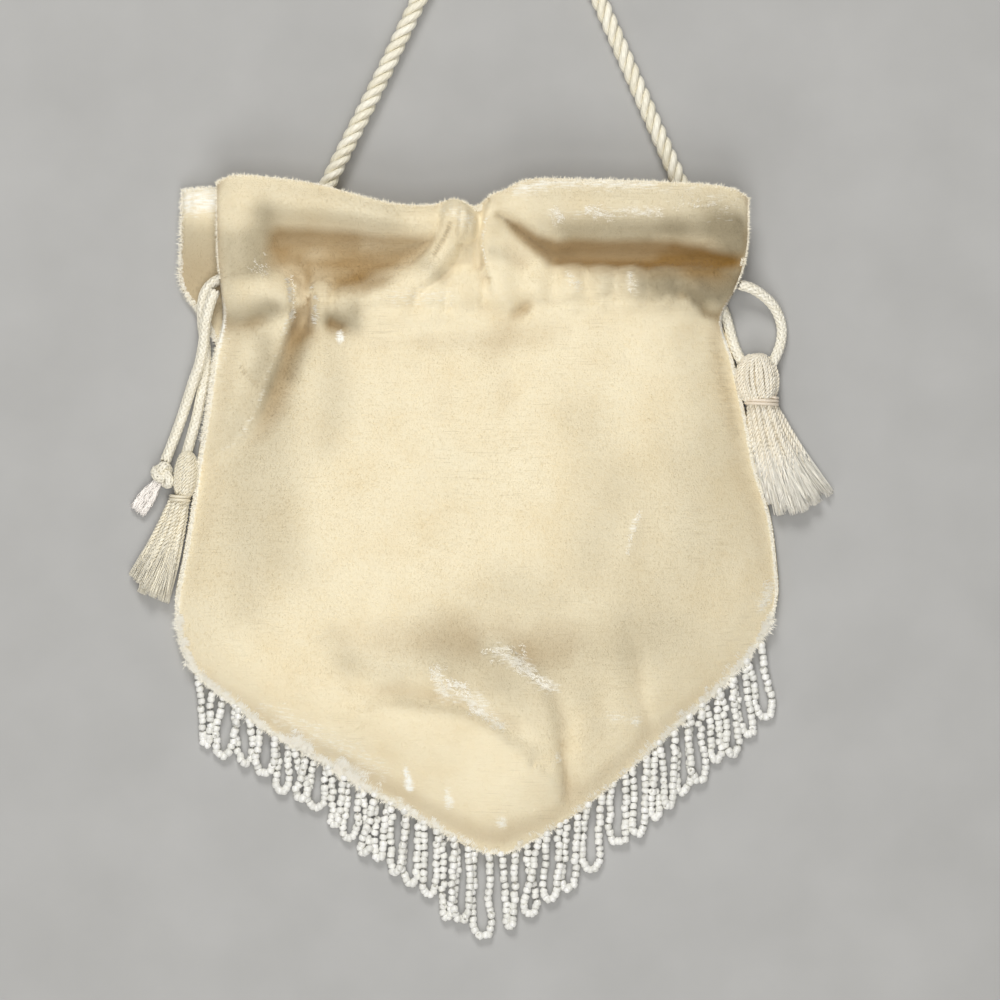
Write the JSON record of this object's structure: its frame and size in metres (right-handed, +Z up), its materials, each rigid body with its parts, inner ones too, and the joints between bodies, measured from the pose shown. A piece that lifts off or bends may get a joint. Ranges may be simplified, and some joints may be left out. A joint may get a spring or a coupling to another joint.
{
  "type": "velvet drawstring evening bag with a bead fringe",
  "caption": "Lying soft velvet pouch with a gathered drawstring mouth, pointed bottom, looped seed-bead fringe, twisted rope strap and tasselled cords.",
  "frame": {"origin": "on the surface the bag lies on, under the middle of the bag's own outline with its fringe", "axes": "+X across the bag to its right, +Y from the fringe's tip to the mouth, +Z up out of the front"},
  "size_m": [0.2097, 0.3263, 0.0226],
  "materials": {
    "velvet": "ivory pile velvet",
    "beads": "opaque white gloss",
    "rope": "satin",
    "cord": "satin",
    "tassel_yarn": "satin"
  },
  "bodies": {
    "root": {"front_panel": "velvet", "back_panel": "velvet", "bead_fringe": "beads", "strap": "rope", "left_drawcord_front": "cord", "left_drawcord_back": "cord", "left_knot": "cord", "left_tassel": "tassel_yarn", "right_drawcord_front": "cord", "right_drawcord_back": "cord", "right_tassel": "tassel_yarn"}
  },
  "joints": []
}
